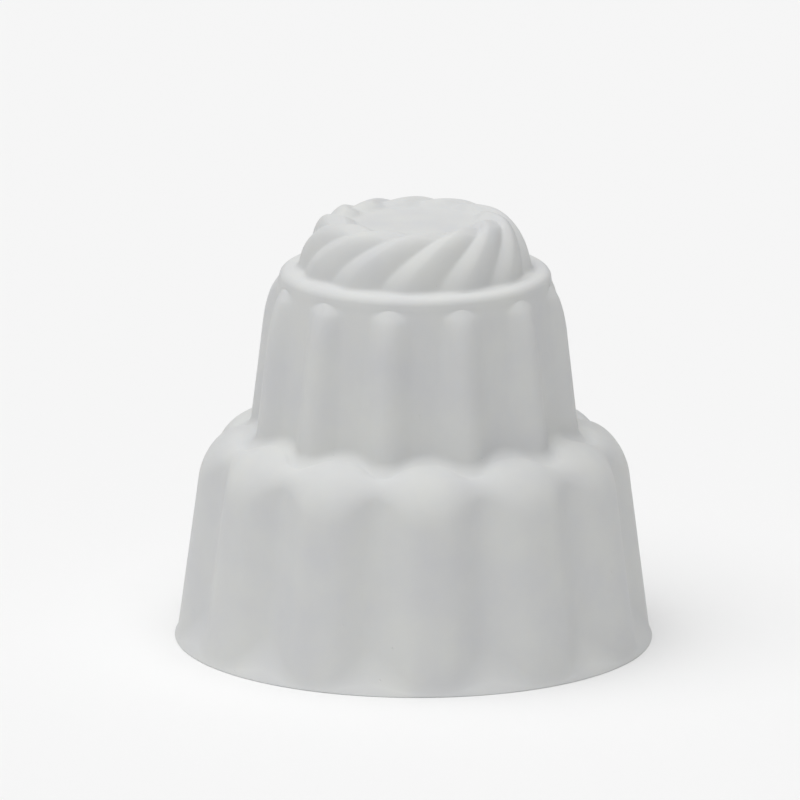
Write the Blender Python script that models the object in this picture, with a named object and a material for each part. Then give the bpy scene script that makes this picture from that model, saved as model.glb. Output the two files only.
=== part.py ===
"""Milk jelly turned out of a fluted two-tier mould: one solid piece on a flat foot.

The outline is two section curves with matching stations. One runs up the middle of
a lobe and on up a flat panel, the other runs up a groove and on up a rib. Round the
jelly each row of points swings between the two, twelve times in a turn. The cap has
two more curves, ridge and valley, and its columns turn as they climb, which makes
the twist. Metres, +Z up, the origin at the middle of the foot.
"""

import math

import bmesh
import bpy

# How many lobes, ribs and cap ridges there are.
FLUTES = 12

# Heights above the foot.
FOOT_RISE = 0.0014          # top of the small rim at the foot
GROOVE_FLARE = 0.0052       # where the grooves start to spread into the rim
LEDGE_AT_LOBE = 0.0501      # top of the lower tier over a lobe
LEDGE_AT_GROOVE = 0.0476    # and over a groove
RIB_SHOULDER = 0.0806       # where the ribs turn in toward their round upper end
RIB_END = 0.0853            # and where they end
LIP_TOP = 0.0880            # plain lip round the top of the upper tier
RIDGE_SHOULDER = 0.0992     # where a ridge of the cap turns in over the top
RIDGE_TOP = 0.1012          # where it turns down again
RIDGE_NOSE = 0.1004         # and where it ends in a short steeper nose
VALLEY_SHOULDER = 0.0983
VALLEY_TOP = 0.1002
VALLEY_NOSE = 0.09975
PLATE = 0.0992              # shallow round plate in the middle of the cap

# Radii.
FOOT_RADIUS = 0.0560
LOBE_RADIUS = 0.0553        # lower tier at the foot, over a lobe
LOBE_SHOULDER = 0.0488      # and at its top, where the two straight lines would meet
GROOVE_RADIUS = 0.0518
GROOVE_SHOULDER = 0.0457
PANEL_RADIUS = 0.0345       # upper tier at the ledge, between the ribs
RIB_RADIUS = 0.0390
PANEL_SHOULDER = 0.0321
RIB_TURN = 0.03515
PANEL_TOP = 0.03175
RIB_LAST = 0.03195
LIP_RADIUS = 0.03135
CAP_RADIUS = 0.0278
RIDGE_RADIUS = 0.0245       # cap at its shoulder, over a ridge
RIDGE_INNER = 0.0178
NOSE_AT_RIDGE = 0.0154
VALLEY_RADIUS = 0.0231
VALLEY_INNER = 0.0185
NOSE_AT_VALLEY = 0.0160
PLATE_AT_RIDGE = 0.0138
PLATE_AT_VALLEY = 0.0142

# How the grooves, ribs and cap ridges run across.
GROOVE_SHARPNESS = 1.65     # 1 is a plain wave, more makes the lobes broad
RIB_HALF_FOOT = math.radians(11.0)
RIB_HALF_TOP = math.radians(8.0)
RIB_TIP = 0.0035            # height over which the rib's end closes
RIB_BLEND_FOOT = 0.60       # softness of the rib's edges
RIB_BLEND_TOP = 0.40
VALLEY_BLEND = 0.15         # softness of the cap's valleys
RIDGE_ROUNDNESS = 1.65      # 2 is a round ridge, 1 would be a sharp one
RIDGE_SKEW = math.radians(2.0)   # how far a valley lies off the middle between two ridges
CAP_PHASE = math.radians(20.3)   # middle between the cap's first two ridges, from a rib
CAP_TURN = math.radians(44.0)    # how far the ridges twist in all
CAP_CLIMB = 0.0183          # distance along a ridge over which they twist
CAP_GATHER = 1.6            # 1 is an even twist, more gathers it over the shoulder

# Mesh: columns in one flute, packed closer at the ribs and valleys.
COLUMNS = 8
CROWDING = 0.45

# Corners of the section curves: radius, height, and how far before and after the
# corner its rounding starts and ends.
OUTER = [
    (FOOT_RADIUS, 0.0, 0.0, 0.0),
    (LOBE_RADIUS, FOOT_RISE, 0.0009, 0.0014),
    (LOBE_SHOULDER, LEDGE_AT_LOBE, 0.0118, 0.0096),
    (PANEL_RADIUS, LEDGE_AT_LOBE + 0.0005, 0.0039, 0.0028),
    (PANEL_SHOULDER, RIB_SHOULDER, 0.0060, 0.0028),
    (PANEL_TOP, RIB_END, 0.0006, 0.0001),
    (LIP_RADIUS + 0.0003, RIB_END + 0.0007, 0.0002, 0.0002),
    (LIP_RADIUS, LIP_TOP, 0.0016, 0.0016),
    (CAP_RADIUS, LIP_TOP + 0.00015, 0.0, 0.0),
]
INNER = [
    (FOOT_RADIUS, 0.0, 0.0, 0.0),
    (GROOVE_RADIUS, GROOVE_FLARE, 0.0037, 0.0047),
    (GROOVE_SHOULDER, LEDGE_AT_GROOVE, 0.0040, 0.0034),
    (RIB_RADIUS, LEDGE_AT_GROOVE + 0.0007, 0.0032, 0.0028),
    (RIB_TURN, RIB_SHOULDER, 0.0060, 0.0031),
    (RIB_LAST, RIB_END, 0.0006, 0.0003),
    (PANEL_TOP - 0.00003, RIB_END + 0.0001, 0.00005, 0.0002),
    (LIP_RADIUS, LIP_TOP, 0.0016, 0.0016),
    (CAP_RADIUS, LIP_TOP + 0.00015, 0.0, 0.0),
]
RIDGE = [
    (CAP_RADIUS, LIP_TOP + 0.00015, 0.0, 0.0),
    (CAP_RADIUS - 0.0006, LIP_TOP + 0.0007, 0.0003, 0.0005),
    (RIDGE_RADIUS, RIDGE_SHOULDER, 0.0084, 0.0045),
    (RIDGE_INNER, RIDGE_TOP, 0.0024, 0.0014),
    (NOSE_AT_RIDGE, RIDGE_NOSE, 0.0010, 0.0009),
    (PLATE_AT_RIDGE, PLATE, 0.0, 0.0),
]
VALLEY = [
    (CAP_RADIUS, LIP_TOP + 0.00015, 0.0, 0.0),
    (CAP_RADIUS - 0.0015, LIP_TOP + 0.0005, 0.0005, 0.0007),
    (VALLEY_RADIUS, VALLEY_SHOULDER, 0.0080, 0.0028),
    (VALLEY_INNER, VALLEY_TOP, 0.0019, 0.0014),
    (NOSE_AT_VALLEY, VALLEY_NOSE, 0.0010, 0.0009),
    (PLATE_AT_VALLEY, PLATE, 0.0, 0.0),
]

# Steps along each straight run and each rounding, the same on both curves of a pair.
BODY_RUNS = (1, 3, 1, 3, 1, 1, 1, 1)
BODY_ROUNDS = (1, 6, 5, 5, 1, 1, 3)
CAP_RUNS = (1, 1, 1, 1, 1)
CAP_ROUNDS = (1, 6, 3, 1)
ROUNDNESS = 0.5523          # Bezier arms that draw a quarter of an ellipse


def section(corners, runs, rounds):
    """Stations (radius, height) along straight runs joined by rounded corners."""
    stations = []
    last = corners[0][:2]
    for index in range(1, len(corners) - 1):
        here = corners[index]
        before, after = corners[index - 1], corners[index + 1]
        back = math.hypot(before[0] - here[0], before[1] - here[1])
        ahead = math.hypot(after[0] - here[0], after[1] - here[1])
        start = [here[k] + (before[k] - here[k]) * here[2] / back for k in (0, 1)]
        end = [here[k] + (after[k] - here[k]) * here[3] / ahead for k in (0, 1)]
        arm_in = [start[k] + (here[k] - start[k]) * ROUNDNESS for k in (0, 1)]
        arm_out = [end[k] + (here[k] - end[k]) * ROUNDNESS for k in (0, 1)]
        for step in range(runs[index - 1]):
            t = step / runs[index - 1]
            stations.append([last[k] + (start[k] - last[k]) * t for k in (0, 1)])
        for step in range(rounds[index - 1]):
            t = step / rounds[index - 1]
            s = 1.0 - t
            stations.append([s ** 3 * start[k] + 3 * s * s * t * arm_in[k]
                             + 3 * s * t * t * arm_out[k] + t ** 3 * end[k]
                             for k in (0, 1)])
        last = end
    for step in range(runs[-1] + 1):
        t = step / runs[-1]
        stations.append([last[k] + (corners[-1][k] - last[k]) * t for k in (0, 1)])
    return stations


def between(x, low, high):
    """0 below low, 1 above high, a straight line between."""
    return min(max((x - low) / (high - low), 0.0), 1.0)


def ease(t):
    """The same step from 0 to 1, softened at both ends."""
    return t * t * (3.0 - 2.0 * t)


def turn_at(distance):
    """The cap's turn after climbing this far along a ridge."""
    return CAP_TURN * between(distance, 0.0, CAP_CLIMB) ** CAP_GATHER


def groove_wave(offset):
    """1 in the middle of a groove, 0 over a lobe."""
    return ((1.0 + math.cos(FLUTES * offset)) / 2.0) ** GROOVE_SHARPNESS


def rib_wave(offset, half, blend):
    """1 along a rib's crest, falling to 0 past its edges."""
    across = math.sin(FLUTES / 2.0 * offset) / math.sin(FLUTES / 2.0 * half)
    q = 1.0 - across ** 2
    return (q + math.hypot(q, blend)) / (1.0 + math.hypot(1.0, blend))


def valley_wave(offset):
    """1 in a valley of the cap, 0 along a ridge."""
    x = abs(offset) / (math.pi / FLUTES)
    rise = math.hypot(x, VALLEY_BLEND) - VALLEY_BLEND
    full = math.hypot(1.0, VALLEY_BLEND) - VALLEY_BLEND
    return (1.0 - rise / full) ** RIDGE_ROUNDNESS


def slide(offset):
    """How far a column slides round over the lip, until it stands in the cap's pattern."""
    across = offset / (math.pi / FLUTES)
    return CAP_PHASE - 2.0 * math.pi / FLUTES + RIDGE_SKEW * (1.0 - across ** 2)


def column_offsets():
    """Angles from the middle of a flute, crowded toward it."""
    half = math.pi / FLUTES
    for step in range(COLUMNS):
        u = 2.0 * step / COLUMNS - 1.0
        yield half * ((1.0 - CROWDING) * u + CROWDING * u ** 3)


def ring(bm, row):
    """One closed row of vertices from (radius, height, angle) triples."""
    return [bm.verts.new((r * math.sin(a), -r * math.cos(a), z)) for r, z, a in row]


def jelly_rows():
    """Every row from the foot to the edge of the plate, as (radius, height, angle)."""
    outer = section(OUTER, BODY_RUNS, BODY_ROUNDS)
    inner = section(INNER, BODY_RUNS, BODY_ROUNDS)
    ridge = section(RIDGE, CAP_RUNS, CAP_ROUNDS)
    valley = section(VALLEY, CAP_RUNS, CAP_ROUNDS)
    flutes = [2.0 * math.pi * k / FLUTES for k in range(FLUTES)]
    offsets = list(column_offsets())
    ledge_start = sum(BODY_RUNS[:2]) + sum(BODY_ROUNDS[:2])
    ledge_end = ledge_start + BODY_RUNS[2] + BODY_ROUNDS[2]
    lip_start = sum(BODY_RUNS[:6]) + sum(BODY_ROUNDS[:6])

    rows = []
    for index, (a, b) in enumerate(zip(outer, inner)):
        to_rib = ease(between(index, ledge_start, ledge_end))
        climb = between(b[1], LEDGE_AT_GROOVE, RIB_END)
        closing = between(b[1], RIB_END - RIB_TIP, RIB_END)
        half = RIB_HALF_FOOT + (RIB_HALF_TOP - RIB_HALF_FOOT) * climb
        half *= math.sqrt(max(1.0 - closing * closing, 0.001))
        blend = RIB_BLEND_FOOT + (RIB_BLEND_TOP - RIB_BLEND_FOOT) * climb
        # Past the ribs the columns turn until they stand at the cap's valleys.
        slid = ease(between(index, lip_start - 1, len(outer) - 1))
        row = []
        for middle in flutes:
            for offset in offsets:
                wave = groove_wave(offset) * (1.0 - to_rib)
                if index < lip_start:
                    wave += rib_wave(offset, half, blend) * to_rib
                row.append((a[0] + (b[0] - a[0]) * wave, a[1] + (b[1] - a[1]) * wave,
                            middle + offset + slid * slide(offset)))
        rows.append(row)

    distance = 0.0
    for index in range(1, len(ridge)):
        a, b = ridge[index], valley[index]
        distance += math.hypot(a[0] - ridge[index - 1][0], a[1] - ridge[index - 1][1])
        turn = turn_at(distance)
        row = []
        for middle in flutes:
            for offset in offsets:
                wave = valley_wave(offset)
                row.append((a[0] + (b[0] - a[0]) * wave, a[1] + (b[1] - a[1]) * wave,
                            middle + offset + slide(offset) + turn))
        rows.append(row)
    return rows


def make_jelly():
    """The closed body: side rows joined by quads, a fan over the plate and the foot."""
    bm = bmesh.new()
    rows = [ring(bm, row) for row in jelly_rows()]
    count = len(rows[0])
    for low, high in zip(rows, rows[1:]):
        for i in range(count):
            j = (i + 1) % count
            bm.faces.new((low[i], low[j], high[j], high[i]))
    plate = bm.verts.new((0.0, 0.0, PLATE))
    foot = bm.verts.new((0.0, 0.0, 0.0))
    for i in range(count):
        j = (i + 1) % count
        bm.faces.new((rows[-1][i], rows[-1][j], plate))
        bm.faces.new((rows[0][j], rows[0][i], foot))
    bmesh.ops.triangulate(bm, faces=bm.faces[:], quad_method="SHORT_EDGE")
    mesh = bpy.data.meshes.new("milk_jelly")
    bm.to_mesh(mesh)
    bm.free()
    mesh.shade_smooth()
    mesh.set_sharp_from_angle(angle=math.radians(50.0))
    return mesh


def milk_white():
    """Opaque white set milk: satin, hardly any shine."""
    material = bpy.data.materials.new("set_milk_jelly")
    material.use_nodes = True
    shader = material.node_tree.nodes["Principled BSDF"]
    shader.inputs["Base Color"].default_value = (0.69, 0.69, 0.68, 1.0)
    shader.inputs["Roughness"].default_value = 0.5
    shader.inputs["Metallic"].default_value = 0.0
    return material


for old in list(bpy.data.objects):
    bpy.data.objects.remove(old)

jelly = bpy.data.objects.new("milk_jelly", make_jelly())
jelly.data.materials.append(milk_white())
bpy.context.scene.collection.objects.link(jelly)
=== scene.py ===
# %% [markdown]
# # A white milk jelly
#
# This is a pudding of set milk, turned out of a fluted mould in two tiers with a twisted
# cap. It is one soft, opaque, satin-white body, so everything the eye gets from it is
# form: twelve broad lobes below, twelve ribs above, and twelve ridges that lean over the
# top. The lesson draws the form first, then the finish, and lights it last.
#
# The solid model of the jelly is loaded as a fixed frame. It has the right size and place,
# but few faces. Its box gives the size of the foot, and the drawing is scaled to it.

# %% The frame
import math

import bmesh
import bpy
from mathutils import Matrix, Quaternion, Vector


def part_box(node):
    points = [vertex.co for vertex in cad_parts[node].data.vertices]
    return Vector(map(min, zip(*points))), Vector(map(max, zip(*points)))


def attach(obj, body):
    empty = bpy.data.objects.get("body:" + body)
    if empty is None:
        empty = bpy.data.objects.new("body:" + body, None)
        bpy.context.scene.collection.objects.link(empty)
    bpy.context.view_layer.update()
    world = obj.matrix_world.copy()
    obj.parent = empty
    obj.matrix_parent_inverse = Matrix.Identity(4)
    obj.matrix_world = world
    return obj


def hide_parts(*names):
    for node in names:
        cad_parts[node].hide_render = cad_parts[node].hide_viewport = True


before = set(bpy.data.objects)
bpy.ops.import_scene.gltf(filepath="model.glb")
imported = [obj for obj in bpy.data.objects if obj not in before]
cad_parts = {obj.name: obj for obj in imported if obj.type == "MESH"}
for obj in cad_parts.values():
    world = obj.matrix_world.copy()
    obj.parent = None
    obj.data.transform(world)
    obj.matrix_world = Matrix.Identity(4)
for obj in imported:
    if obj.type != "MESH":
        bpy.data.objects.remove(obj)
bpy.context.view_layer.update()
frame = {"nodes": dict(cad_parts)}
foot_corner, top_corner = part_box("milk_jelly")
foot_radius = (top_corner.x - foot_corner.x) / 2
print("solids in the frame:", ", ".join(frame["nodes"]))
print("foot", round(2000 * foot_radius, 1), "mm across,",
      round(1000 * (top_corner.z - foot_corner.z), 1), "mm high")

# %% [markdown]
# ## Millimetres
#
# A mould is cut to drawn sizes, and they are easiest to read in millimetres. The drawing
# here is for a foot 112 mm across. One drawn millimetre is worked out from the frame, so
# the surface keeps to the solid if that is ever made larger or smaller.

# %% One drawn millimetre, in the frame's metres
DRAWN_FOOT_RADIUS = 56.0
MM = foot_radius / DRAWN_FOOT_RADIUS
print("one drawn millimetre is", round(MM, 7), "m")

# %% [markdown]
# ## Two outlines for one body
#
# Cut through the middle of a lobe, the jelly shows one outline, and cut through the
# middle of a groove it shows another. Every other cut lies between the two. A plain spun
# profile would have no flutes at all, and grooves cut out of one would have sharp edges.
# So the body is drawn as two outlines with matching points, and what remains is a rule
# that says how far to go from the one to the other on the way round.
#
# A pencil would draw them as straight lines with rounded corners. A corner is a radius,
# a height, and how long before and after it the rounding starts and ends. Soft, long
# roundings are what makes set milk look soft, because the mould has no sharp edge that
# the jelly could keep.

# %% Straight lines with rounded corners
QUARTER_ARM = 0.5523    # Bezier arm that draws a quarter of an ellipse


def toward(start, end, length):
    """The point this far from start on the line to end."""
    return start + (end - start) * (length / (end - start).length)


def outline(corners, runs, rounds):
    """Points (radius, height) on straight runs joined by rounded corners."""
    places = [Vector(corner[:2]) for corner in corners]
    points = []
    last = places[0]
    for k in range(1, len(corners) - 1):
        start = toward(places[k], places[k - 1], corners[k][2])
        end = toward(places[k], places[k + 1], corners[k][3])
        arm_in = start.lerp(places[k], QUARTER_ARM)
        arm_out = end.lerp(places[k], QUARTER_ARM)
        points += [last.lerp(start, step / runs[k - 1]) for step in range(runs[k - 1])]
        for step in range(rounds[k - 1]):
            t = step / rounds[k - 1]
            s = 1 - t
            points.append(s ** 3 * start + 3 * s * s * t * arm_in
                          + 3 * s * t * t * arm_out + t ** 3 * end)
        last = end
    points += [last.lerp(places[-1], step / runs[-1]) for step in range(runs[-1] + 1)]
    return points


right_angle = outline([(0, 0), (1, 0, 1, 1), (1, 1)], (1, 1), (8,))
print("a right angle rounded over its whole length has", len(right_angle), "points")

# %% [markdown]
# ## The sizes of the two tiers
#
# The lower tier leans in a little, as any shape must that has to slip out of its mould.
# It ends in a ledge that rises over each lobe and sinks over each groove. The upper tier
# stands on the ledge and has flat panels with a rib between each two. The ribs end
# below a plain lip.

# %% Heights and radii in drawn millimetres
FOOT_RISE = 1.4         # top of the small rim at the foot
GROOVE_FLARE = 5.2      # where the grooves start to spread into the rim
LEDGE_AT_LOBE = 50.1
LEDGE_AT_GROOVE = 47.6
RIB_SHOULDER = 80.6     # where the ribs turn in toward their round upper end
RIB_END = 85.3
LIP_TOP = 88.0

LOBE_RADIUS = 55.3      # lower tier at the foot, over a lobe
LOBE_SHOULDER = 48.8    # and at its top, where the two straight lines would meet
GROOVE_RADIUS = 51.8
GROOVE_SHOULDER = 45.7
PANEL_RADIUS = 34.5     # upper tier at the ledge, between the ribs
PANEL_SHOULDER = 32.1
PANEL_TOP = 31.75
RIB_RADIUS = 39.0       # and over a rib
RIB_TURN = 35.15
RIB_LAST = 31.95
LIP_RADIUS = 31.35
CAP_RADIUS = 27.8       # where the cap starts on the lip

FOOT_EDGE = 0.35        # the soft lower edge, where the jelly meets what it stands on

lobe_lean = math.atan2(LOBE_RADIUS - LOBE_SHOULDER, LEDGE_AT_LOBE - FOOT_RISE)
print("the lobes lean in by", round(math.degrees(lobe_lean), 1), "degrees")

# %% The lobe's outline and the groove's
OVER_LOBE = [
    (0.0, 0.0, 0.0, 0.0),
    (DRAWN_FOOT_RADIUS, 0.0, FOOT_EDGE, FOOT_EDGE),
    (LOBE_RADIUS, FOOT_RISE, 0.9, 1.4),
    (LOBE_SHOULDER, LEDGE_AT_LOBE, 11.8, 9.6),
    (PANEL_RADIUS, LEDGE_AT_LOBE + 0.5, 3.9, 2.8),
    (PANEL_SHOULDER, RIB_SHOULDER, 6.0, 2.8),
    (PANEL_TOP, RIB_END, 0.6, 0.1),
    (LIP_RADIUS + 0.3, RIB_END + 0.7, 0.2, 0.2),
    (LIP_RADIUS, LIP_TOP, 1.6, 1.6),
    (CAP_RADIUS, LIP_TOP + 0.15, 0.0, 0.0),
]
IN_GROOVE = [
    (0.0, 0.0, 0.0, 0.0),
    (DRAWN_FOOT_RADIUS, 0.0, FOOT_EDGE, FOOT_EDGE),
    (GROOVE_RADIUS, GROOVE_FLARE, 3.7, 4.7),
    (GROOVE_SHOULDER, LEDGE_AT_GROOVE, 4.0, 3.4),
    (RIB_RADIUS, LEDGE_AT_GROOVE + 0.7, 3.2, 2.8),
    (RIB_TURN, RIB_SHOULDER, 6.0, 3.1),
    (RIB_LAST, RIB_END, 0.6, 0.3),
    (PANEL_TOP - 0.03, RIB_END + 0.1, 0.05, 0.2),
    (LIP_RADIUS, LIP_TOP, 1.6, 1.6),
    (CAP_RADIUS, LIP_TOP + 0.15, 0.0, 0.0),
]
# Steps along each straight run and each rounding, the same on both outlines.
TIER_RUNS = (3, 1, 22, 3, 15, 3, 1, 2, 3)
TIER_ROUNDS = (4, 8, 24, 14, 14, 4, 3, 8)

over_lobe = outline(OVER_LOBE, TIER_RUNS, TIER_ROUNDS)
in_groove = outline(IN_GROOVE, TIER_RUNS, TIER_ROUNDS)
print("tiers:", len(over_lobe), "points on each outline")

# %% [markdown]
# ## The cap
#
# The cap's twelve ridges could be bent tubes that are melted together, but in the mould
# they are one skin. So the cap has two outlines of its own, along a ridge and along a
# valley. Both climb a rounded shoulder, level out, and drop over a short nose to a
# shallow round plate in the middle, about 2 mm below the tops of the ridges. The valleys
# are deepest on the shoulder and shallow beside the plate, where the ridges end.

# %% The ridge's outline and the valley's
RIDGE_SHOULDER = 99.2
RIDGE_TOP = 101.2
RIDGE_NOSE = 100.4
VALLEY_SHOULDER = 98.3
VALLEY_TOP = 100.2
VALLEY_NOSE = 99.75
PLATE = 99.2

RIDGE_RADIUS = 24.5
RIDGE_INNER = 17.8
NOSE_AT_RIDGE = 15.4
PLATE_AT_RIDGE = 13.8
VALLEY_RADIUS = 23.1
VALLEY_INNER = 18.5
NOSE_AT_VALLEY = 16.0
PLATE_AT_VALLEY = 14.2

ON_RIDGE = [
    (CAP_RADIUS, LIP_TOP + 0.15, 0.0, 0.0),
    (CAP_RADIUS - 0.6, LIP_TOP + 0.7, 0.3, 0.5),
    (RIDGE_RADIUS, RIDGE_SHOULDER, 8.4, 4.5),
    (RIDGE_INNER, RIDGE_TOP, 2.4, 1.4),
    (NOSE_AT_RIDGE, RIDGE_NOSE, 1.0, 0.9),
    (PLATE_AT_RIDGE, PLATE, 0.8, 0.8),
    (0.0, PLATE, 0.0, 0.0),
]
IN_VALLEY = [
    (CAP_RADIUS, LIP_TOP + 0.15, 0.0, 0.0),
    (CAP_RADIUS - 1.5, LIP_TOP + 0.5, 0.5, 0.7),
    (VALLEY_RADIUS, VALLEY_SHOULDER, 8.0, 2.8),
    (VALLEY_INNER, VALLEY_TOP, 1.9, 1.4),
    (NOSE_AT_VALLEY, VALLEY_NOSE, 1.0, 0.9),
    (PLATE_AT_VALLEY, PLATE, 0.8, 1.0),
    (0.0, PLATE, 0.0, 0.0),
]
CAP_RUNS = (2, 5, 2, 1, 1, 8)
CAP_ROUNDS = (4, 18, 8, 4, 4)

on_ridge = outline(ON_RIDGE, CAP_RUNS, CAP_ROUNDS)[1:]
in_valley = outline(IN_VALLEY, CAP_RUNS, CAP_ROUNDS)[1:]
print("cap:", len(on_ridge), "points on each outline")

# %% [markdown]
# ## What each height needs to know
#
# The rule for the way round changes with the height: the lower tier swings between lobe
# and groove, the upper tier between panel and rib, and the cap between ridge and valley.
# Each height gets three shares that add up to one, or to nothing on the plain lip.
# Over the ledge the first share hands over to the second in an eased step.
#
# The cap's ridges also lean. Each height of the cap knows how far it has climbed along a
# ridge, and the lean grows with that.

# %% Shares of the three waves, height by height
ledge_start = sum(TIER_RUNS[:3]) + sum(TIER_ROUNDS[:3])
ledge_end = ledge_start + TIER_RUNS[3] + TIER_ROUNDS[3]
lip_start = sum(TIER_RUNS[:7]) + sum(TIER_ROUNDS[:7])
tier_count = len(over_lobe)


def eased(value, low, high):
    """0 below low, 1 above high, and a soft step between."""
    t = min(max((value - low) / (high - low), 0.0), 1.0)
    return t * t * (3 - 2 * t)


to_rib = [eased(k, ledge_start, ledge_end) for k in range(tier_count)]
shares = [(1 - rib, rib if k < lip_start else 0.0, 0.0) for k, rib in enumerate(to_rib)]
shares += [(0.0, 0.0, 1.0)] * len(on_ridge)
print("the groove gives way to the rib over", ledge_end - ledge_start, "heights of the ledge")

# %% How far each height has climbed along a ridge
lip_share = [eased(k, lip_start - 1, tier_count - 1) for k in range(tier_count)]
lip_share += [1.0] * len(on_ridge)

climbed = [0.0] * tier_count
for here, before in zip(on_ridge, over_lobe[-1:] + on_ridge):
    climbed.append(climbed[-1] + (here - before).length * MM)
print("a ridge is", round(climbed[-1] / MM, 1), "drawn mm long to the middle of the plate")

# %% [markdown]
# ## The outlines as a mesh that carries numbers
#
# Geometry Nodes can read numbers stored on a mesh. So the outer outline becomes a thin
# line of points that stands in front of the middle, and each point carries the matching
# place on the inner outline, its shares, its part of the lip and its climb. The line is
# the knife cut that is about to be carried round.

# %% A line of points with attributes


def store(mesh, name, kind, values):
    """Keeps one value for each point of the mesh under a name."""
    attribute = mesh.attributes.new(name, kind, "POINT")
    for item, value in zip(attribute.data, values):
        if kind == "FLOAT":
            item.value = value
        else:
            item.vector = value


def standing(points):
    """Drawn (radius, height) as places in front of the middle, in metres."""
    return [Vector((0.0, -point.x * MM, point.y * MM)) for point in points]


outer_line = standing(over_lobe + on_ridge)
inner_line = standing(in_groove + in_valley)
cut = bpy.data.meshes.new("knife_cut")
cut.from_pydata(outer_line, [(k, k + 1) for k in range(len(outer_line) - 1)], [])
store(cut, "inner_place", "FLOAT_VECTOR", inner_line)
store(cut, "shares", "FLOAT_VECTOR", shares)
store(cut, "lip_share", "FLOAT", lip_share)
store(cut, "climbed", "FLOAT", climbed)

jelly = bpy.data.objects.new("milk_jelly_surface", cut)
bpy.context.scene.collection.objects.link(jelly)
print("the cut has", len(cut.vertices), "points")

# %% [markdown]
# ## One helper for every node
#
# Node trees made in a script get long, because each node needs its settings and its
# links. One small function does that for all of them: it adds the node, sets its
# properties, and feeds each input either with a number or from another node.

# %% Adding a node


def add_node(tree, kind, feeds, **settings):
    """Adds a node, and feeds its inputs with values or with other nodes' outputs."""
    node = tree.nodes.new(kind)
    for name, value in settings.items():
        setattr(node, name, value)
    for key, value in feeds.items():
        if isinstance(value, bpy.types.NodeSocket):
            tree.links.new(value, node.inputs[key])
        else:
            node.inputs[key].default_value = value
    return node


# %% [markdown]
# ## The finish: set milk
#
# Milk jelly is milk with sugar, set with gelatine or starch. The fat drops in it scatter
# all light within a few millimetres, so it is opaque and white, but not hard-white as
# plaster is: light that enters comes out again a little way off and softens every
# shadow. The skin was moulded against smooth metal or plastic and is moist, which gives
# a satin gloss and no mirror. It has a few pinholes where fine froth burst, and very
# faint clouds where it set unevenly. It bends light a little more than water does.
#
# One white with one roughness would look like plastic. Here a slow noise moves the colour
# and the gloss together, and two fine patterns dent the skin.

# %% Colours as hex values


def linear_colour(code):
    """A linear colour with full alpha from an sRGB hex code."""
    parts = [int(code[k:k + 2], 16) / 255 for k in (1, 3, 5)]
    bent = [p / 12.92 if p <= 0.04045 else ((p + 0.055) / 1.055) ** 2.4 for p in parts]
    return (*bent, 1.0)


print("a grey of #808080 is", round(linear_colour("#808080")[0], 3), "in linear light")

# %% Set milk: opaque and satin, with light that wanders under the skin
CLOUD = 14.0 * MM       # size of the faint clouds
NOISE_LOW = 0.3         # most of a noise lies between these two
NOISE_HIGH = 0.7
CREAM = "#DADBD9"       # the clouds, a trace warmer and lighter
SHADE = "#D4D5D6"       # what lies between them
MOISTER = 0.50          # roughness where the skin is moister
DRIER = 0.60
PINHOLE_SPACING = 6.5 * MM
PINHOLE_SIZE = 0.32 * MM    # real ones are finer, and these can just be made out
PINHOLE_DEPTH = 0.25 * MM
SKIN_GRAIN = 1.1 * MM   # the slightly uneven skin
SKIN_DEPTH = 0.1 * MM
LIGHT_INSIDE = 0.3      # share of the light that goes under the skin
LIGHT_REACH = 1.5 * MM  # and how far it wanders there, red a little further than blue


def set_milk():
    """White set milk with froth pinholes and faint clouds."""
    material = bpy.data.materials.new("moulded_set_milk")
    material.use_nodes = True
    tree = material.node_tree
    shader = tree.nodes["Principled BSDF"]
    place = add_node(tree, "ShaderNodeTexCoord", {}).outputs["Object"]

    clouds = add_node(tree, "ShaderNodeTexNoise", {
        "Vector": place, "Scale": 1 / CLOUD, "Detail": 3.0, "Roughness": 0.5})
    spread = add_node(tree, "ShaderNodeMapRange", {
        "Value": clouds.outputs["Fac"], "From Min": NOISE_LOW, "From Max": NOISE_HIGH})
    colour = add_node(tree, "ShaderNodeMix", {
        0: spread.outputs["Result"], 6: linear_colour(SHADE), 7: linear_colour(CREAM),
    }, data_type="RGBA")
    tree.links.new(colour.outputs[2], shader.inputs["Base Color"])

    gloss = add_node(tree, "ShaderNodeMapRange", {
        "Value": spread.outputs["Result"], "To Min": MOISTER, "To Max": DRIER})
    tree.links.new(gloss.outputs["Result"], shader.inputs["Roughness"])

    holes = add_node(tree, "ShaderNodeTexVoronoi", {
        "Vector": place, "Scale": 1 / PINHOLE_SPACING, "Randomness": 1.0})
    depth = add_node(tree, "ShaderNodeMapRange", {
        "Value": holes.outputs["Distance"], "From Min": 0.0,
        "From Max": PINHOLE_SIZE / PINHOLE_SPACING, "To Min": 0.0, "To Max": 1.0,
    }, interpolation_type="SMOOTHSTEP")
    pinned = add_node(tree, "ShaderNodeBump", {
        "Strength": 0.5, "Distance": PINHOLE_DEPTH, "Height": depth.outputs["Result"]})
    grain = add_node(tree, "ShaderNodeTexNoise", {
        "Vector": place, "Scale": 1 / SKIN_GRAIN, "Detail": 2.0})
    skin = add_node(tree, "ShaderNodeBump", {
        "Strength": 0.06, "Distance": SKIN_DEPTH, "Height": grain.outputs["Fac"],
        "Normal": pinned.outputs["Normal"]})
    tree.links.new(skin.outputs["Normal"], shader.inputs["Normal"])

    shader.inputs["Subsurface Weight"].default_value = LIGHT_INSIDE
    shader.inputs["Subsurface Radius"].default_value = (1.0, 0.9, 0.8)
    shader.inputs["Subsurface Scale"].default_value = LIGHT_REACH
    shader.inputs["Specular IOR Level"].default_value = 0.25
    shader.inputs["IOR"].default_value = 1.36
    return material


milk = set_milk()
print("finish:", milk.name, "with", len(milk.node_tree.nodes), "nodes")

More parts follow.
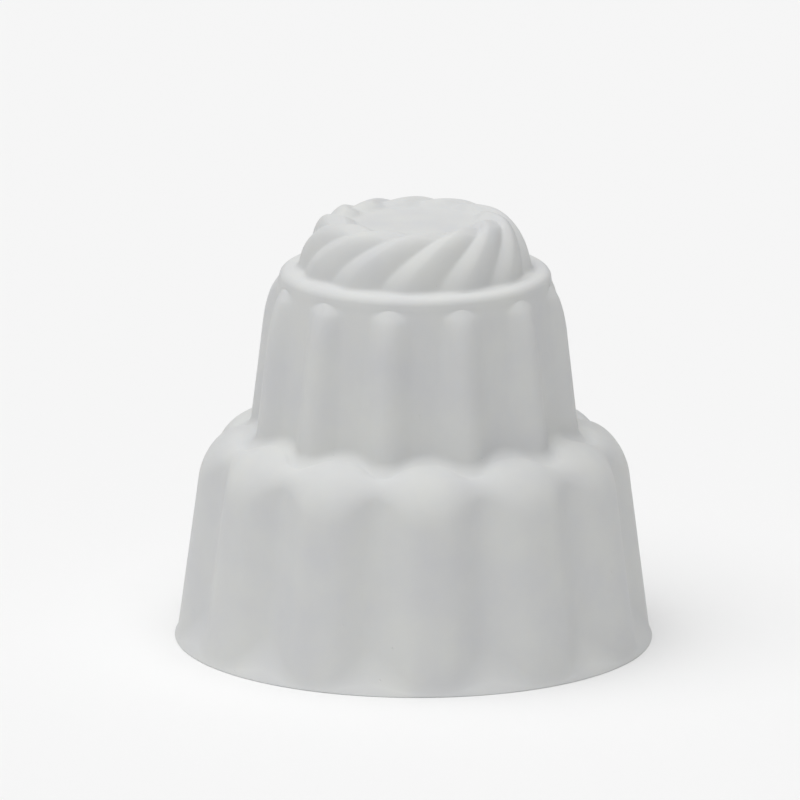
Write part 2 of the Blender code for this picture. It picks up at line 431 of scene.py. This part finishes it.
# %% [markdown]
# ## Carrying the cut round
#
# The form repeats twelve times, so it is made by a tree of Geometry Nodes and not by
# hand. The tree starts with a flat grid that has one row of points for each height of
# the cut and one column for each step round the jelly. Each point of the grid looks up
# its height's numbers on the cut, finds how far it stands from the middle of its flute,
# and goes to its place. The sizes of the rule are named inputs of the tree, and could be
# changed in the modifier like those of any other.

# %% The tree and its named inputs
FLUTES = 12
RULE = {
    "Flutes": ("NodeSocketInt", FLUTES),
    "Columns": ("NodeSocketInt", 480),
    "Groove sharpness": ("NodeSocketFloat", 1.65),
    "Rib foot": ("NodeSocketFloat", LEDGE_AT_GROOVE * MM),
    "Rib end": ("NodeSocketFloat", RIB_END * MM),
    "Rib tip length": ("NodeSocketFloat", 3.5 * MM),
    "Rib half angle at foot": ("NodeSocketFloat", math.radians(11.0)),
    "Rib half angle at end": ("NodeSocketFloat", math.radians(8.0)),
    "Rib softness at foot": ("NodeSocketFloat", 0.60),
    "Rib softness at end": ("NodeSocketFloat", 0.40),
    "Valley softness": ("NodeSocketFloat", 0.15),
    "Ridge roundness": ("NodeSocketFloat", 1.65),
    "Ridge skew": ("NodeSocketFloat", math.radians(2.0)),
    "Cap phase": ("NodeSocketFloat", math.radians(20.3 - 360 / FLUTES)),
    "Cap turn": ("NodeSocketFloat", math.radians(44.0)),
    "Cap climb": ("NodeSocketFloat", 18.3 * MM),
    "Cap gather": ("NodeSocketFloat", 1.6),
    "Unevenness": ("NodeSocketFloat", 0.25 * MM),
    "Unevenness size": ("NodeSocketFloat", 22.0 * MM),
    "Seed": ("NodeSocketInt", 7),
    "Finish": ("NodeSocketMaterial", milk),
}

form = bpy.data.node_groups.new("fluted_form", "GeometryNodeTree")
form.interface.new_socket("Cut", in_out="INPUT", socket_type="NodeSocketGeometry")
for name, (kind, value) in RULE.items():
    form.interface.new_socket(name, in_out="INPUT", socket_type=kind)
form.interface.new_socket("Jelly", in_out="OUTPUT", socket_type="NodeSocketGeometry")
given = form.nodes.new("NodeGroupInput").outputs
print("the tree has", len(RULE), "named inputs")

# %% A grid with a row for each height, and each point's row and column
heights = add_node(form, "GeometryNodeAttributeDomainSize", {"Geometry": given["Cut"]})
round_points = add_node(form, "ShaderNodeMath", {0: given["Columns"], 1: 1.0}, operation="ADD")
grid = add_node(form, "GeometryNodeMeshGrid", {
    "Vertices X": round_points.outputs[0], "Vertices Y": heights.outputs["Point Count"]})
index = add_node(form, "GeometryNodeInputIndex", {})
row = add_node(form, "FunctionNodeIntegerMath", {
    0: index.outputs[0], 1: heights.outputs["Point Count"]}, operation="MODULO").outputs[0]
column = add_node(form, "FunctionNodeIntegerMath", {
    0: index.outputs[0], 1: heights.outputs["Point Count"]}, operation="DIVIDE_FLOOR").outputs[0]
print("a column every", 360 / RULE["Columns"][1], "degrees")

# %% Looking up the cut's numbers at a point's height


def looked_up(value, kind):
    """What the cut holds at the row of each grid point."""
    return add_node(form, "GeometryNodeSampleIndex", {
        "Geometry": given["Cut"], "Value": value, "Index": row,
    }, data_type=kind, domain="POINT").outputs["Value"]


def carried(name, kind):
    """The same for a named attribute of the cut."""
    stored = add_node(form, "GeometryNodeInputNamedAttribute", {"Name": name}, data_type=kind)
    return looked_up(stored.outputs["Attribute"], kind)


outer_place = looked_up(add_node(form, "GeometryNodeInputPosition", {}).outputs[0], "FLOAT_VECTOR")
inner_place = carried("inner_place", "FLOAT_VECTOR")
wave_shares = carried("shares", "FLOAT_VECTOR")
print("looked up: two places and three shares, with", len(form.nodes), "nodes so far")

# %% How far a point stands from the middle of its flute
turn_so_far = add_node(form, "ShaderNodeMath", {0: column, 1: math.tau}, operation="MULTIPLY")
angle = add_node(form, "ShaderNodeMath", {
    0: turn_so_far.outputs[0], 1: given["Columns"]}, operation="DIVIDE").outputs[0]
half_flute = add_node(form, "ShaderNodeMath", {
    0: math.pi, 1: given["Flutes"]}, operation="DIVIDE").outputs[0]
minus_half = add_node(form, "ShaderNodeMath", {0: half_flute, 1: -1.0}, operation="MULTIPLY")
offset = add_node(form, "ShaderNodeMath", {
    0: angle, 1: half_flute, 2: minus_half.outputs[0]}, operation="WRAP").outputs[0]
print("a flute reaches", 180 / FLUTES, "degrees to either side of its middle")

# %% [markdown]
# ## The three waves
#
# A groove is a cosine raised to a power, which keeps the grooves narrow and the lobes
# broad. A rib is an arch that falls off with the square of a sine, which leaves no crease
# half-way between two ribs, and it levels out softly into the panels at its two edges.
# Its width narrows as it climbs, and closes in a half-round at its end. A valley starts
# as a plain V with a slightly soft bottom, and a power rounds the ridges beside it.

# %% The groove's wave
swing = add_node(form, "ShaderNodeMath", {0: offset, 1: given["Flutes"]}, operation="MULTIPLY")
cosine = add_node(form, "ShaderNodeMath", {0: swing.outputs[0]}, operation="COSINE")
lifted = add_node(form, "ShaderNodeMath", {
    0: cosine.outputs[0], 1: 0.5, 2: 0.5}, operation="MULTIPLY_ADD")
groove_wave = add_node(form, "ShaderNodeMath", {
    0: lifted.outputs[0], 1: given["Groove sharpness"]}, operation="POWER").outputs[0]
print("groove's wave:", len(form.nodes), "nodes so far")

# %% The rib's width at each height, closing at its end
NEARLY_SHUT = 0.9995
height = add_node(form, "ShaderNodeSeparateXYZ", {0: inner_place}).outputs["Z"]
half_width = add_node(form, "ShaderNodeMapRange", {
    "Value": height, "From Min": given["Rib foot"], "From Max": given["Rib end"],
    "To Min": given["Rib half angle at foot"], "To Max": given["Rib half angle at end"]})
softness = add_node(form, "ShaderNodeMapRange", {
    "Value": height, "From Min": given["Rib foot"], "From Max": given["Rib end"],
    "To Min": given["Rib softness at foot"], "To Max": given["Rib softness at end"]}).outputs[0]
tip_start = add_node(form, "ShaderNodeMath", {
    0: given["Rib end"], 1: given["Rib tip length"]}, operation="SUBTRACT")
closing = add_node(form, "ShaderNodeMapRange", {
    "Value": height, "From Min": tip_start.outputs[0], "From Max": given["Rib end"],
    "To Min": 0.0, "To Max": NEARLY_SHUT}).outputs[0]
closing_squared = add_node(form, "ShaderNodeMath", {0: closing, 1: closing}, operation="MULTIPLY")
open_squared = add_node(form, "ShaderNodeMath", {
    0: 1.0, 1: closing_squared.outputs[0]}, operation="SUBTRACT")
still_open = add_node(form, "ShaderNodeMath", {0: open_squared.outputs[0]}, operation="SQRT")
rib_half = add_node(form, "ShaderNodeMath", {
    0: half_width.outputs[0], 1: still_open.outputs[0]}, operation="MULTIPLY").outputs[0]
print("a rib's end closes over", round(RULE["Rib tip length"][1] / MM, 1), "drawn mm")

# %% The rib's wave


def length_of(first, second):
    """The long side of a right triangle with these two short sides."""
    pair = add_node(form, "ShaderNodeCombineXYZ", {"X": first, "Y": second})
    return add_node(form, "ShaderNodeVectorMath", {
        0: pair.outputs[0]}, operation="LENGTH").outputs["Value"]


half_flutes = add_node(form, "ShaderNodeMath", {
    0: given["Flutes"], 1: 0.5}, operation="MULTIPLY").outputs[0]


def periodic(angle_in):
    """A sine that is 0 in the middle of a flute and 1 at its edge, with no crease there."""
    turned_by = add_node(form, "ShaderNodeMath", {0: angle_in, 1: half_flutes}, operation="MULTIPLY")
    return add_node(form, "ShaderNodeMath", {0: turned_by.outputs[0]}, operation="SINE").outputs[0]


across = add_node(form, "ShaderNodeMath", {
    0: periodic(offset), 1: periodic(rib_half)}, operation="DIVIDE").outputs[0]
across_squared = add_node(form, "ShaderNodeMath", {0: across, 1: across}, operation="MULTIPLY")
arch = add_node(form, "ShaderNodeMath", {
    0: 1.0, 1: across_squared.outputs[0]}, operation="SUBTRACT").outputs[0]
levelled = add_node(form, "ShaderNodeMath", {
    0: arch, 1: length_of(arch, softness)}, operation="ADD")
crest = add_node(form, "ShaderNodeMath", {0: 1.0, 1: length_of(1.0, softness)}, operation="ADD")
rib_wave = add_node(form, "ShaderNodeMath", {
    0: levelled.outputs[0], 1: crest.outputs[0]}, operation="DIVIDE").outputs[0]
print("rib's wave:", len(form.nodes), "nodes so far")

# %% The valley's wave
away = add_node(form, "ShaderNodeMath", {0: offset, 1: half_flute}, operation="DIVIDE").outputs[0]
risen = add_node(form, "ShaderNodeMath", {
    0: length_of(away, given["Valley softness"]), 1: given["Valley softness"],
}, operation="SUBTRACT")
full_rise = add_node(form, "ShaderNodeMath", {
    0: length_of(1.0, given["Valley softness"]), 1: given["Valley softness"],
}, operation="SUBTRACT")
part_risen = add_node(form, "ShaderNodeMath", {
    0: risen.outputs[0], 1: full_rise.outputs[0]}, operation="DIVIDE")
sunk = add_node(form, "ShaderNodeMath", {0: 1.0, 1: part_risen.outputs[0]}, operation="SUBTRACT")
valley_wave = add_node(form, "ShaderNodeMath", {
    0: sunk.outputs[0], 1: given["Ridge roundness"]}, operation="POWER").outputs[0]
print("valley's wave:", len(form.nodes), "nodes so far")

# %% [markdown]
# ## Every point to its place
#
# The shares pick the wave that rules at each height, and the wave says how far a point
# goes from the outer outline to the inner one. Then the point is turned about the middle
# by its angle. On the lip, where the form is plain, the columns slide round until they
# stand in the cap's valleys, and from there they follow the lean of the ridges.
# So the mesh has an edge along the bottom of each valley, and the creases stay clean.
#
# The columns near a valley slide a little further than those on the ridges. That sets
# each valley off the middle between its two ridges, and every ridge gets one steep flank
# and one gentle one.

# %% From the outer outline to the inner one
waves = add_node(form, "ShaderNodeCombineXYZ", {
    "X": groove_wave, "Y": rib_wave, "Z": valley_wave})
sway = add_node(form, "ShaderNodeVectorMath", {
    0: waves.outputs[0], 1: wave_shares}, operation="DOT_PRODUCT")
place = add_node(form, "ShaderNodeMix", {
    0: sway.outputs["Value"], 4: outer_place, 5: inner_place}, data_type="VECTOR").outputs[1]
print("places:", len(form.nodes), "nodes so far")

# %% The lean of the ridges
climb_share = add_node(form, "ShaderNodeMapRange", {
    "Value": carried("climbed", "FLOAT"), "From Min": 0.0, "From Max": given["Cap climb"]})
gathered = add_node(form, "ShaderNodeMath", {
    0: climb_share.outputs[0], 1: given["Cap gather"]}, operation="POWER")
away_squared = add_node(form, "ShaderNodeMath", {0: away, 1: away}, operation="MULTIPLY")
from_crest = add_node(form, "ShaderNodeMath", {
    0: 1.0, 1: away_squared.outputs[0]}, operation="SUBTRACT")
leaning = add_node(form, "ShaderNodeMath", {
    0: from_crest.outputs[0], 1: given["Ridge skew"], 2: given["Cap phase"],
}, operation="MULTIPLY_ADD")
on_the_lip = add_node(form, "ShaderNodeMath", {
    0: carried("lip_share", "FLOAT"), 1: leaning.outputs[0], 2: angle}, operation="MULTIPLY_ADD")
whole_angle = add_node(form, "ShaderNodeMath", {
    0: gathered.outputs[0], 1: given["Cap turn"], 2: on_the_lip.outputs[0],
}, operation="MULTIPLY_ADD")
turned = add_node(form, "ShaderNodeVectorRotate", {
    "Vector": place, "Angle": whole_angle.outputs[0]}, rotation_type="Z_AXIS")
swept = add_node(form, "GeometryNodeSetPosition", {
    "Geometry": grid.outputs["Mesh"], "Position": turned.outputs[0]})
print("the ridges lean by", round(math.degrees(RULE["Cap turn"][1])), "degrees in all")

# %% [markdown]
# ## Closing and softening
#
# The grid's first and last columns now lie on each other, and so do all points in the
# middle of the foot and of the plate. Welding them makes one closed body. A slow noise
# then moves the skin by a fraction of a millimetre, because a jelly sags a little as it
# comes out of its mould, and no two lobes are quite alike. The foot stays flat.

# %% Weld, unevenness, smooth shading and the finish
WELD = 0.001 * MM
FLAT_BELOW = 0.5 * MM
FREE_ABOVE = 6.0 * MM

welded = add_node(form, "GeometryNodeMergeByDistance", {
    "Geometry": swept.outputs[0], "Distance": WELD})
here = add_node(form, "GeometryNodeInputPosition", {}).outputs[0]
noise_scale = add_node(form, "ShaderNodeMath", {
    0: 1.0, 1: given["Unevenness size"]}, operation="DIVIDE")
noise = add_node(form, "ShaderNodeTexNoise", {
    "Vector": here, "W": given["Seed"], "Scale": noise_scale.outputs[0], "Detail": 1.0,
}, noise_dimensions="4D")
either_way = add_node(form, "ShaderNodeMath", {
    0: noise.outputs["Fac"], 1: 0.5}, operation="SUBTRACT")
above_foot = add_node(form, "ShaderNodeMapRange", {
    "Value": add_node(form, "ShaderNodeSeparateXYZ", {0: here}).outputs["Z"],
    "From Min": FLAT_BELOW, "From Max": FREE_ABOVE})
freed = add_node(form, "ShaderNodeMath", {
    0: either_way.outputs[0], 1: above_foot.outputs[0]}, operation="MULTIPLY")
moved_by = add_node(form, "ShaderNodeMath", {
    0: freed.outputs[0], 1: given["Unevenness"]}, operation="MULTIPLY")
outward = add_node(form, "ShaderNodeVectorMath", {
    0: add_node(form, "GeometryNodeInputNormal", {}).outputs[0], 3: moved_by.outputs[0],
}, operation="SCALE")
uneven = add_node(form, "GeometryNodeSetPosition", {
    "Geometry": welded.outputs[0], "Offset": outward.outputs[0]})
smooth = add_node(form, "GeometryNodeSetShadeSmooth", {"Geometry": uneven.outputs[0]})
real = add_node(form, "GeometryNodeRealizeInstances", {"Geometry": smooth.outputs[0]})
finished = add_node(form, "GeometryNodeSetMaterial", {
    "Geometry": real.outputs[0], "Material": given["Finish"]})
add_node(form, "NodeGroupOutput", {"Jelly": finished.outputs[0]})
print("the tree has", len(form.nodes), "nodes")

# %% [markdown]
# ## From the tree to a plain mesh
#
# The modifier's inputs are set by the identifier of each socket. The evaluated shape is
# then taken as a plain mesh, and the modifier goes, so that what is left is an ordinary
# closed surface. It stands for the solid, which is hidden.

# %% Evaluate, settle and check
modifier = jelly.modifiers.new("fluted form", "NODES")
modifier.node_group = form
for socket in form.interface.items_tree:
    if socket.in_out == "INPUT" and socket.name in RULE:
        modifier[socket.identifier] = RULE[socket.name][1]

graph = bpy.context.evaluated_depsgraph_get()
surface = bpy.data.meshes.new_from_object(jelly.evaluated_get(graph), depsgraph=graph)
jelly.modifiers.clear()
jelly.data = surface
bpy.data.meshes.remove(cut)

body = bmesh.new()
body.from_mesh(surface)
print(sum(len(face.verts) - 2 for face in body.faces), "triangles,",
      sum(not edge.is_manifold for edge in body.edges), "open edges,",
      round(1e6 * body.calc_volume(signed=True), 1), "ml with its faces outwards")
body.free()

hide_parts("milk_jelly")
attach(jelly, "root")

# %% [markdown]
# ## Floor, light and camera
#
# The floor is a sheet of matt white paper, as a studio rolls out under a small thing. It
# is three metres wide, so that no edge of it comes into the picture, and it throws light
# back up on the jelly.

# %% A wide paper floor
FLOOR_HALF = 1.5        # half of its side, in metres
PAPER = "#F3F3F3"


def matt_paper():
    """Matt white paper, which scatters light evenly and has no shine."""
    material = bpy.data.materials.new("matt_white_paper")
    material.use_nodes = True
    shader = material.node_tree.nodes["Principled BSDF"]
    shader.inputs["Base Color"].default_value = linear_colour(PAPER)
    shader.inputs["Roughness"].default_value = 1.0
    shader.inputs["Specular IOR Level"].default_value = 0.0
    return material


corners = [(x * FLOOR_HALF, y * FLOOR_HALF, 0.0) for x, y in ((-1, -1), (1, -1), (1, 1), (-1, 1))]
floor_mesh = bpy.data.meshes.new("paper_floor")
floor_mesh.from_pydata(corners, [], [(0, 1, 2, 3)])
floor_mesh.materials.append(matt_paper())
floor = bpy.data.objects.new("paper_floor", floor_mesh)
bpy.context.scene.collection.objects.link(floor)
print("paper floor", 2 * FLOOR_HALF, "m wide")

# %% [markdown]
# ## Light
#
# The photograph's light is a very wide, soft source high up, a little to the left and in
# front. There is hardly a cast shadow, the tops are brightest, and the right side falls
# off gently. A sun lamp with a wide angle is such a source, because its light comes from
# a broad patch of sky and not from a point. A weak, even surround fills the shadows.

# %% A wide soft key light and an even surround
KEY_AZIMUTH = -38.0
KEY_ELEVATION = 79.0
KEY_WIDTH = 74.0
KEY_STRENGTH = 2.42
SURROUND = 0.27

az, el = math.radians(KEY_AZIMUTH), math.radians(KEY_ELEVATION)
from_light = Vector((math.sin(az) * math.cos(el), -math.cos(az) * math.cos(el), math.sin(el)))
key = bpy.data.lights.new("key", "SUN")
key.energy = KEY_STRENGTH
key.angle = math.radians(KEY_WIDTH)
key_object = bpy.data.objects.new("key", key)
key_object.rotation_mode = "QUATERNION"
key_object.rotation_quaternion = from_light.to_track_quat("Z", "Y")
bpy.context.scene.collection.objects.link(key_object)

world = bpy.data.worlds.new("surround")
world.use_nodes = True
world.node_tree.nodes["Background"].inputs["Color"].default_value = (1.0, 1.0, 1.0, 1.0)
world.node_tree.nodes["Background"].inputs["Strength"].default_value = SURROUND
bpy.context.scene.world = world

# White stays white on the screen, with no film-like roll-off.
bpy.context.scene.view_settings.view_transform = "Standard"
print("key light", KEY_ELEVATION, "degrees up and", KEY_WIDTH, "degrees wide")

# %% [markdown]
# ## Camera
#
# The camera looks down by about 15 degrees from two and a half metres away, with a long
# lens. It stands a little to the right of a rib. In the photograph the middle of the
# foot is at one point of the picture and the foot's half width fills a known share of
# it, and these two facts give the lens and the aim.

# %% The photograph's camera
PICTURE = 800
FOOT_HALF_IN_PICTURE = 239.0
FOOT_MIDDLE = (415.0, 633.5)
CAMERA_AWAY = 45.2 * foot_radius
CAMERA_DIP = math.radians(15.35)
CAMERA_SIDE = math.radians(10.4)
CAMERA_ROLL = math.radians(0.25)

camera_height = CAMERA_AWAY * math.tan(CAMERA_DIP)
focal_pixels = FOOT_HALF_IN_PICTURE * math.hypot(CAMERA_AWAY, camera_height) / foot_radius
aim_down = CAMERA_DIP - math.atan((FOOT_MIDDLE[1] - PICTURE / 2) / focal_pixels)
aim_left = math.atan((FOOT_MIDDLE[0] - PICTURE / 2) / focal_pixels)

ahead = Vector((-math.sin(CAMERA_SIDE), math.cos(CAMERA_SIDE), 0.0))
rightward = Vector((math.cos(CAMERA_SIDE), math.sin(CAMERA_SIDE), 0.0))
level = ahead * math.cos(aim_left) - rightward * math.sin(aim_left)
looking = level * math.cos(aim_down) - Vector((0.0, 0.0, 1.0)) * math.sin(aim_down)

camera = bpy.data.cameras.new("camera")
camera.sensor_width = 36.0
camera.lens = focal_pixels / PICTURE * camera.sensor_width
camera.clip_end = 100.0
camera_object = bpy.data.objects.new("camera", camera)
camera_object.location = -ahead * CAMERA_AWAY + Vector((0.0, 0.0, camera_height))
camera_object.rotation_mode = "QUATERNION"
camera_object.rotation_quaternion = (
    looking.to_track_quat("-Z", "Y") @ Quaternion((0.0, 0.0, 1.0), CAMERA_ROLL))
bpy.context.scene.collection.objects.link(camera_object)
bpy.context.scene.camera = camera_object
print("lens", round(camera.lens), "mm")
